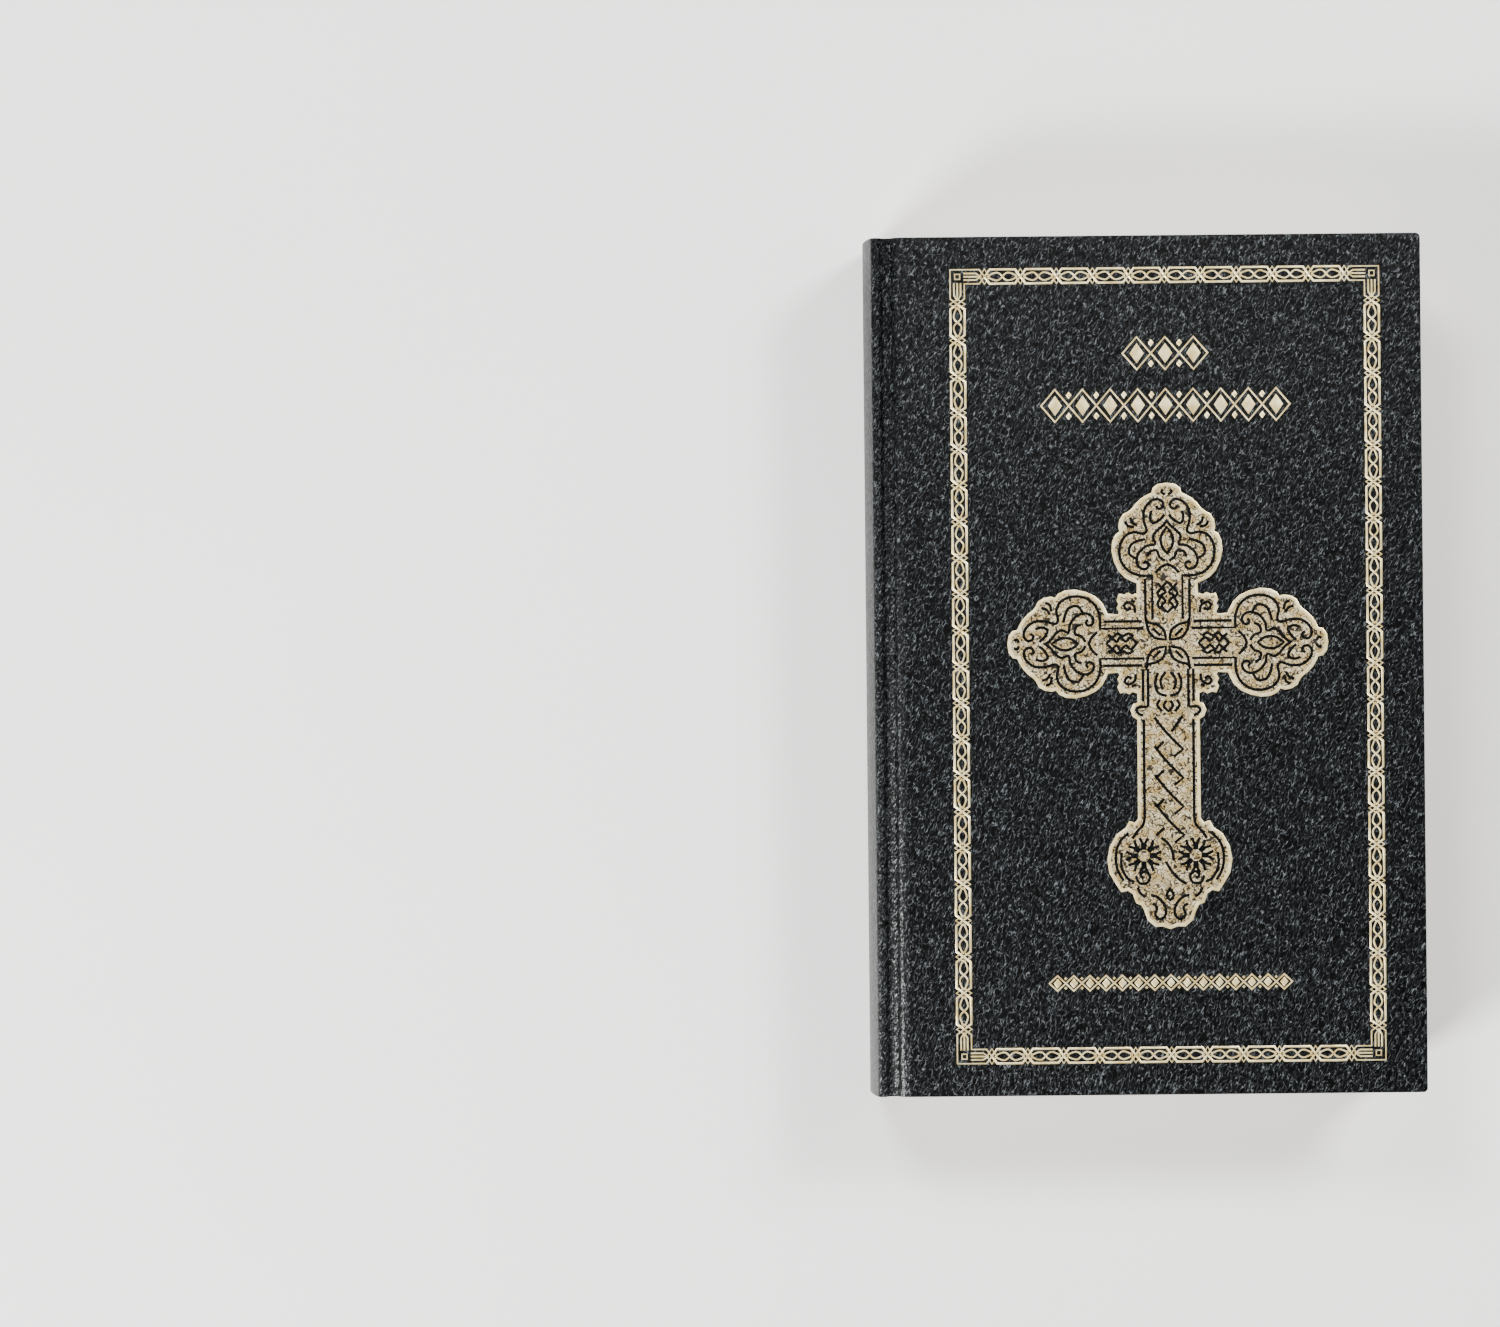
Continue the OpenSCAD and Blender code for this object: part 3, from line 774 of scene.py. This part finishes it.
foil = {
    "line": 0.57 * mm,        # width of the border's lines
    "fineLine": 0.4 * mm,
    "proud": 0.1 * mm,        # how far the gold may stand above the leatherette
    "crossRim": 1.05 * mm,
    "engraving": 0.76 * mm,   # width of the cross's engraved lines
    "plate": 0.05 * mm,       # thickness of the cross's foil
}
foilZ = coverHigh.z
borderLow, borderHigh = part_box("foil_border")
crossLow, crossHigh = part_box("foil_cross")


def makeStrokes(lines, width, base, proud):
    # lines in XY, in metres: drawn, made a round wire, flattened, and cut at the surface
    obj = drawLines([[(x, y, 0) for x, y in line] for line in lines])
    editAll(obj)
    bpy.ops.mesh.remove_doubles(threshold=mm / 1000)
    only(obj)
    bpy.ops.object.convert(target="CURVE")
    obj = bpy.context.object
    obj.data.bevel_depth = width / 2
    obj.data.bevel_resolution = 1
    obj.data.use_fill_caps = True
    bpy.ops.object.convert(target="MESH")
    obj = bpy.context.object
    editAll(obj)
    bpy.ops.mesh.bisect(plane_co=(0, 0, 0), plane_no=(0, 0, 1), threshold=mm / 10000, clear_inner=True)
    bpy.ops.mesh.select_all(action="SELECT")
    bpy.ops.transform.resize(value=(1, 1, 2 * proud / width), center_override=(0, 0, 0))
    bpy.ops.transform.translate(value=(0, 0, base))
    bpy.ops.object.mode_set(mode="OBJECT")
    return obj


def inMetres(points):
    return [(x * mm, y * mm) for x, y in points]


def placeCopies(obj, places):
    # places are (x, y, turn in degrees); each copy has its own mesh
    copies = []
    for x, y, turn in places:
        piece = copyOf(obj)
        editAll(piece)
        # with no window, rotate turns the other way
        bpy.ops.transform.rotate(value=-math.radians(turn), orient_axis="Z", center_override=(0, 0, 0))
        bpy.ops.transform.translate(value=(x, y, 0))
        bpy.ops.object.mode_set(mode="OBJECT")
        copies.append(piece)
    only(obj)
    bpy.ops.object.delete()
    return joinAll(copies)


border = {
    # in millimetres
    "band": 4.3,              # width of the whole border
    "corner": 9.2,            # from the outer corner to the first crossing
    "rail": 0.32,             # from the outer edge to the middle of the outer line
    "slant": 1.35,            # how far a link's ends slant in to a crossing
    "across": 10, "down": 20,    # number of links
}


def makeBorder():
    band, end, slant = border["band"], border["corner"], border["slant"]
    rail = band / 2 - border["rail"]
    wide, tall = (borderHigh.x - borderLow.x) / mm, (borderHigh.y - borderLow.y) / mm
    sides = {0: (wide, tall, border["across"]), 90: (tall, wide, border["down"])}
    centreX, centreY = (borderLow.x + borderHigh.x) / 2, (borderLow.y + borderHigh.y) / 2
    pieces = []
    for turn, (length, across, count) in sides.items():
        pitch = (length - 2 * end) / count
        half, flat = pitch / 2, pitch / 2 - slant
        eight = smoothPath([(-flat - 0.5, 0), (-2.4, 0.8), (-1.35, 1.0), (-0.6, 0.65), (0, 0), (0.6, -0.65),
                            (1.35, -1.0), (2.4, -0.8), (flat + 0.5, 0), (2.4, 0.8), (1.35, 1.0), (0.6, 0.65),
                            (0, 0), (-0.6, -0.65), (-1.35, -1.0), (-2.4, -0.8)], 2, closed=True)
        link = [[(-half, 0), (-flat, rail), (flat, rail), (half, 0)],
                [(-half, 0), (-flat, -rail), (flat, -rail), (half, 0)]]
        unit = joinAll([makeStrokes([inMetres(p) for p in link], foil["line"], foilZ, foil["proud"]),
                        makeStrokes([inMetres(eight)], foil["fineLine"], foilZ, foil["proud"] * 0.9)])
        lozenge = [(0, 2.0), (1.25, 0), (0, -2.0), (-1.25, 0), (0, 2.0)]
        cross = makeStrokes([inMetres(lozenge)], foil["fineLine"], foilZ, foil["proud"] * 0.9)
        unitPlaces, crossPlaces = [], []
        for side in (-1, 1):
            shift = side * (across - band) / 2 * mm
            for i in range(count + 1):
                along = (-length / 2 + end + pitch * i) * mm
                for places, step, last in ((unitPlaces, pitch / 2 * mm, count), (crossPlaces, 0, count + 1)):
                    if i < last:
                        spot = (along + step, shift) if turn == 0 else (shift, along + step)
                        places.append((centreX + spot[0], centreY + spot[1], turn))
        pieces += [placeCopies(unit, unitPlaces), placeCopies(cross, crossPlaces)]
    # the key in each corner, drawn for the corner at the lower left
    near, far, stop = border["rail"], band - border["rail"], end - slant
    middle = band / 2
    key = [[(end, middle), (stop, near), (near, near), (near, stop), (middle, end)],
           [(end, middle), (stop, far), (far, far), (far, stop), (middle, end)],
           [(1.5, 1.5), (2.8, 1.5), (2.8, 2.8), (1.5, 2.8), (1.5, 1.5)]]
    for offset in (-0.85, 0, 0.85):
        key.append([(far - 0.2, middle + offset), (stop - 0.9, middle + offset), (stop + 0.5, middle)])
        key.append([(middle + offset, far - 0.2), (middle + offset, stop - 0.9), (middle, stop + 0.5)])
    keyPiece = makeStrokes([inMetres(p) for p in key], foil["fineLine"] * 1.05, foilZ, foil["proud"])
    pieces.append(placeCopies(keyPiece, [
        (borderLow.x, borderLow.y, 0), (borderHigh.x, borderLow.y, 90),
        (borderHigh.x, borderHigh.y, 180), (borderLow.x, borderHigh.y, 270)]))
    return joinAll(pieces)


finishPiece(makeBorder(), "goldBorder", goldFoil, "front_cover", replaced=["foil_border"])
print("border made")


# the cross, drawn in millimetres from the crossing; the right half is drawn and mirrored
upperArm = 41.3 * mm          # from the crossing to the top
crossX = (crossLow.x + crossHigh.x) / 2
crossY = crossHigh.y - upperArm

budEdge = [(7.4, 12.3), (7.4, 15.8), (8.9, 16.5), (10.6, 17.4), (12.1, 19.0), (13.2, 21.3), (13.8, 24.0),
           (13.6, 26.3), (12.8, 27.9), (11.7, 28.8), (12.0, 30.1), (11.7, 31.7), (10.9, 33.0), (9.6, 33.6),
           (8.5, 34.5), (7.5, 35.8), (6.2, 37.0), (4.7, 37.9), (3.4, 38.5), (3.1, 39.8), (2.0, 40.6), (0, 40.9)]
blockEdge = [(7.4, 11.8), (8.2, 12.4), (9.2, 12.0), (10.1, 12.6), (11.1, 12.1), (12.2, 12.4), (12.6, 11.2),
             (12.1, 10.2), (12.6, 9.2), (12.0, 8.2), (12.4, 7.2), (11.8, 6.6)]
shaftEdge = [(7.5, -12.0), (7.5, -15.6), (8.7, -16.0), (9.3, -17.2), (8.8, -18.6), (7.6, -19.4), (7.6, -45.4),
             (8.8, -46.8), (10.2, -46.3), (10.8, -47.8), (13.3, -49.6), (15.0, -52.6), (15.6, -55.9),
             (15.1, -59.1), (13.5, -61.8), (12.4, -63.7), (10.8, -63.3), (9.2, -64.4), (8.4, -66.7),
             (7.1, -67.2), (6.2, -68.8), (5.4, -71.2), (3.7, -72.7), (1.8, -72.6), (0, -73.3)]


def flipX(points):
    return [(-x, y) for x, y in points]


def flipY(points):
    return [(x, -y) for x, y in points]


def sideways(points):
    # from the upper arm to the right-hand arm
    return [(y, x) for x, y in points]


def crossOutline():
    upper = blockEdge[::-1] + budEdge
    right = sideways(budEdge[::-1]) + [(13.0, 6.6)]
    right = [(x, y * 0.98) for x, y in right]
    quarter = right + upper                       # from the right-hand tip up to the top
    lowerBlock = flipY(blockEdge)
    lower = flipY(right)[::-1]
    lowerRight = shaftEdge[::-1] + lowerBlock + lower
    rightHalf = lowerRight + quarter[1:]
    return rightHalf + flipX(rightHalf)[::-1][1:-1]


budLines = [
    smoothPath([(3.9, 17.5), (6.8, 17.5), (9.8, 18.6), (11.9, 21.3), (12.2, 24.8), (10.9, 27.6), (8.6, 28.7),
                (6.2, 28.3), (5.2, 29.2), (5.9, 31.6), (5.8, 34.4), (4.3, 36.5), (2.4, 37.2), (1.0, 36.4),
                (1.1, 35.1), (2.1, 34.7), (2.7, 35.5)], 3),
    smoothPath([(0, 31.8), (0.9, 30.4), (2.7, 28.9), (3.6, 27.4), (3.0, 25.6), (5.1, 25.2), (7.2, 23.5),
                (7.9, 21.2), (7.0, 19.5), (5.4, 19.2), (4.7, 20.3), (5.4, 21.1), (6.2, 20.6)], 3),
    smoothPath([(0, 30.0), (1.5, 27.6), (1.3, 25.0), (0, 23.2)], 3),
    smoothPath([(0.5, 21.3), (1.9, 22.2), (2.7, 24.0), (4.4, 23.6), (5.0, 22.4)], 3),
    smoothPath([(0, 20.4), (1.7, 19.6), (3.0, 18.2)], 3),
    smoothPath([(0.6, 33.2), (1.7, 31.9), (3.6, 31.0), (4.3, 32.6), (3.9, 34.2)], 3),
    smoothPath([(7.6, 30.4), (8.9, 31.2), (9.4, 32.6)], 3),
    smoothPath([(8.4, 30.0), (10.1, 30.4), (10.7, 31.6)], 3),
    smoothPath([(8.0, 21.9), (9.7, 23.1), (9.4, 25.3), (7.6, 26.4), (5.6, 26.9)], 3),
    smoothPath([(0.4, 38.4), (1.3, 39.0), (0.9, 39.7)], 3),
]
armLines = [[(3.9, 17.5), (3.9, 6.2)], [(5.7, 16.6), (5.7, 6.6)]]
leafLines = [
    smoothPath([(0, 15.8), (1.3, 14.4), (0.4, 13.2), (1.7, 12.3), (0.5, 10.9), (1.5, 9.6), (0, 8.0)], 3),
    smoothPath([(2.4, 15.4), (1.6, 14.2), (2.6, 13.0), (1.9, 11.6), (2.6, 10.2), (1.8, 8.8)], 3),
]
petalLines = [
    smoothPath([(0.5, 0.9), (1.0, 3.4), (3.0, 4.9), (5.0, 5.4), (5.7, 6.6)], 3),
    smoothPath([(0.5, 0.9), (3.3, 1.4), (4.9, 3.1), (5.4, 5.0), (5.7, 6.6)], 3),
    smoothPath([(1.9, 1.9), (2.9, 2.9), (3.9, 3.9)], 2),
]
blockLines = [
    smoothPath([(8.4, 7.9), (8.6, 9.6), (10.2, 10.6), (11.2, 9.8), (10.4, 8.6), (9.4, 9.2)], 3),
    smoothPath([(8.4, 10.6), (9.4, 11.2)], 2),
]
shaftLines = [
    [(5.2, -6.6), (5.2, -15.6)], [(6.5, -6.6), (6.5, -15.0)],
    smoothPath([(5.2, -15.6), (5.6, -16.4), (7.4, -16.4), (8.2, -17.2), (7.6, -18.2), (6.5, -18.6)], 3),
    [(6.4, -19.6), (6.4, -44.8)],
    smoothPath([(6.4, -44.8), (6.8, -46.8), (8.4, -48.6), (9.6, -50.4)], 3),
    smoothPath([(10.6, -48.9), (12.9, -51.2), (13.9, -54.4), (13.6, -58.2), (12.0, -61.2)], 3),
    smoothPath([(12.4, -54.0), (12.5, -57.6), (11.0, -60.6), (9.2, -61.6)], 3),
    smoothPath([(1.4, -12.0), (2.0, -9.6), (0.6, -7.4)], 3),
    smoothPath([(0.4, -13.6), (2.6, -12.8), (3.4, -10.2), (2.6, -7.6)], 3),
    smoothPath([(0, -17.6), (1.2, -16.2), (0.5, -14.8)], 3),
    smoothPath([(1.6, -17.6), (2.9, -16.0), (2.2, -14.6)], 3),
    smoothPath([(8.8, -60.0), (7.9, -61.9), (5.9, -61.8), (5.2, -60.1), (6.4, -58.9), (7.6, -59.7),
                (6.8, -60.8)], 3),
    smoothPath([(5.0, -65.0), (3.0, -65.7), (1.4, -67.8), (1.2, -70.0), (2.6, -71.3), (3.9, -70.0), (3.4, -68.2),
                (4.6, -67.2)], 3),
    smoothPath([(8.4, -63.0), (7.6, -64.6), (6.4, -65.4)], 3),
    smoothPath([(0, -66.4), (0.9, -65.0), (0, -63.4)], 3),
]


def braidLines():
    lines = []
    for i in range(4):
        y = -19.4 - 7.4 * i
        lines.append(smoothPath([(-3.7, y + 0.3), (-1.0, y - 3.2), (2.0, y - 6.4), (3.7, y - 8.0)], 2))
        lines.append([(-1.3, y - 6.0), (-3.5, y - 8.1)])
        lines.append([(3.7, y - 8.0), (1.3, y - 9.9)])
    lines.append([(3.6, -18.8), (0.7, -22.9)])
    lines.append(smoothPath([(-2.2, -50.2), (-0.4, -51.7), (0.7, -54.0), (1.0, -56.2)], 3))
    lines.append(smoothPath([(-1.0, -56.4), (0.4, -58.8), (2.4, -61.0), (4.3, -62.2)], 3))
    return lines


def rosetteLines(x, y):
    lines = []
    for i in range(8):
        a = math.radians(22.5 + 45 * i)
        for side in (-0.28, 0.28):
            lines.append(inMetres([(x + r * math.cos(a + side * k), y + r * math.sin(a + side * k))
                                   for r, k in ((1.5, 0.7), (3.2, 1.0), (4.7, 0.55))]))
    return lines


def crossEngraving():
    drawn = []
    for line in budLines + armLines + leafLines:
        for side in (line, flipX(line)):
            drawn += [side, sideways(side), flipX(sideways(side))]
    for line in petalLines + blockLines:
        drawn += [line, flipX(line), flipY(line), flipX(flipY(line))]
    for line in shaftLines:
        drawn += [line, flipX(line)]
    return [inMetres(line) for line in drawn + braidLines()] + rosetteLines(6.7, -54.8) + rosetteLines(-6.7, -54.8)


def makeCrossPlate():
    outline = [(x, y, 0) for x, y in inMetres(crossOutline())]
    plate = drawLines([outline + outline[:1]])
    editAll(plate)
    bpy.ops.mesh.remove_doubles(threshold=mm / 1000)
    bpy.ops.mesh.edge_face_add()
    bpy.ops.mesh.quads_convert_to_tris()
    bpy.ops.mesh.extrude_region_move(TRANSFORM_OT_translate={"value": (0, 0, foil["plate"])})
    bpy.ops.mesh.select_all(action="SELECT")
    bpy.ops.mesh.normals_make_consistent(inside=False)
    bpy.ops.transform.translate(value=(0, 0, foilZ))
    bpy.ops.object.mode_set(mode="OBJECT")
    return plate


def moveToCross(obj):
    editAll(obj)
    bpy.ops.transform.translate(value=(crossX, crossY, 0))
    bpy.ops.object.mode_set(mode="OBJECT")
    return obj


outline = inMetres(crossOutline())
finishPiece(moveToCross(makeCrossPlate()), "goldCross", engravedFoil, "front_cover",
            replaced=["foil_cross"])
finishPiece(moveToCross(makeStrokes([outline + outline[:1]], foil["crossRim"], foilZ, foil["proud"] * 0.9)),
            "goldCrossRim", goldFoil, "front_cover", replaced=["foil_cross"])
engraving = makeStrokes(crossEngraving(), foil["engraving"], foilZ + foil["plate"], foil["proud"] * 0.5)
finishPiece(moveToCross(engraving), "crossEngraving", bareLeatherette, "front_cover",
            replaced=["foil_cross"])
print("cross made")


# rows of lozenges
ornaments = {
    "rule": 0.55 * mm,
    "upperHeight": 8.4, "lowerHeight": 3.9,   # of a lozenge's outline, mm
    "shortWide": 22,                          # width of the top row, mm
    "short": 3, "long": 9, "lower": 15,       # lozenges in each row
    "edgeToRow": 2.7 * mm,                    # from the upper pair's edge to a row's middle
}


def makeLozenge(wide, tall):
    only(None)
    bpy.ops.mesh.primitive_cone_add(vertices=4, radius1=0.5, radius2=0.36, depth=foil["proud"],
                                    location=(0, 0, foilZ + foil["proud"] / 2))
    piece = bpy.context.object
    piece.scale = (wide * mm, tall * mm, 1)
    bpy.ops.object.transform_apply()
    return piece


def ornamentRow(centre, wide, tall, count):
    pitch = wide / count
    pieces, lozenges, small = [], [], []
    for i in range(count):
        x = (i - (count - 1) / 2) * pitch
        lozenges.append((centre.x + x * mm, centre.y, 0))
        if i:
            small += [(centre.x + (x - pitch / 2) * mm, centre.y + s * tall * 0.32 * mm, 0) for s in (-1, 1)]
    pieces.append(placeCopies(makeLozenge(pitch * 0.5, tall * 0.62), lozenges))
    if small:
        pieces.append(placeCopies(makeLozenge(pitch * 0.2, tall * 0.22), small))
    link = inMetres([(0, tall / 2), (pitch / 2, 0), (0, -tall / 2), (-pitch / 2, 0), (0, tall / 2)])
    pieces.append(placeCopies(makeStrokes([link], ornaments["rule"], foilZ, foil["proud"]), lozenges))
    return joinAll(pieces)


upperLow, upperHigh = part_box("foil_upper_ornament")
upperX = (upperLow.x + upperHigh.x) / 2
shortRow = ornamentRow(Vector((upperX, upperHigh.y - ornaments["edgeToRow"], 0)), ornaments["shortWide"],
                       ornaments["upperHeight"], ornaments["short"])
longRow = ornamentRow(Vector((upperX, upperLow.y + ornaments["edgeToRow"], 0)), (upperHigh.x - upperLow.x) / mm,
                      ornaments["upperHeight"], ornaments["long"])
finishPiece(joinAll([shortRow, longRow]), "upperOrnament", goldFoil, "front_cover",
            replaced=["foil_upper_ornament"])
lowerLow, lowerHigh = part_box("foil_lower_ornament")
lowerRow = ornamentRow((lowerLow + lowerHigh) / 2, (lowerHigh.x - lowerLow.x) / mm, ornaments["lowerHeight"],
                       ornaments["lower"])
finishPiece(lowerRow, "lowerOrnament", goldFoil, "front_cover", replaced=["foil_lower_ornament"])
print("ornaments made")


# floor, light and camera

studio = {
    "floor": "#fbfaf8",
    "sky": 0.3,
    "cameraHeight": 1.15,     # above the front cover
    "cameraX": -102.27 * mm, "cameraY": 1.37 * mm,
    "viewWidth": 387.2 * mm,  # seen at the height of the cover
    "roll": -0.55,            # degrees
}
lamps = {
    # name: place, size, power, all aimed at the book
    "lowLeft": ((-0.9, -0.65, 0.85), 0.4, 36),
    "highRight": ((0.9, 0.8, 1.3), 0.5, 36),
    "highLeft": ((-0.6, 1.0, 1.4), 0.5, 24),
}

only(None)
bpy.ops.mesh.primitive_plane_add(size=16, location=(0, 0, -0.2 * mm))
floor = bpy.context.object
floor.name = "studioFloor"
bpy.ops.object.transform_apply()
floorMaterial, tree, shader, place = startMaterial("paperSweep", False)
cloud = addNode(tree, "ShaderNodeTexNoise", {"Scale": 0.01, "Detail": 2}, {"Vector": place})
tree.links.new(mixColours(tree, cloud.outputs[0], "#f6f5f2", studio["floor"]), shader.inputs["Base Color"])
setShader(shader, Roughness=0.9)
floor.data.materials.append(floorMaterial)

for name, (where, size, power) in lamps.items():
    bpy.ops.object.light_add(type="AREA", location=where)
    lamp = bpy.context.object
    lamp.name = name
    lamp.data.size = size
    lamp.data.energy = power
    lamp.rotation_euler = (-Vector(where)).to_track_quat("-Z", "Y").to_euler()

world = bpy.data.worlds.new("softRoom")
world.use_nodes = True
world.node_tree.nodes["Background"].inputs["Color"].default_value = linear("#f2f3f5")
world.node_tree.nodes["Background"].inputs["Strength"].default_value = studio["sky"]
bpy.context.scene.world = world

bpy.ops.object.camera_add(location=(studio["cameraX"], studio["cameraY"], coverHigh.z + studio["cameraHeight"]),
                          rotation=(0, 0, math.radians(studio["roll"])))
camera = bpy.context.object
camera.data.lens = camera.data.sensor_width * studio["cameraHeight"] / studio["viewWidth"]
camera.data.clip_start = 0.01
bpy.context.scene.camera = camera
only(None)
print("studio made")
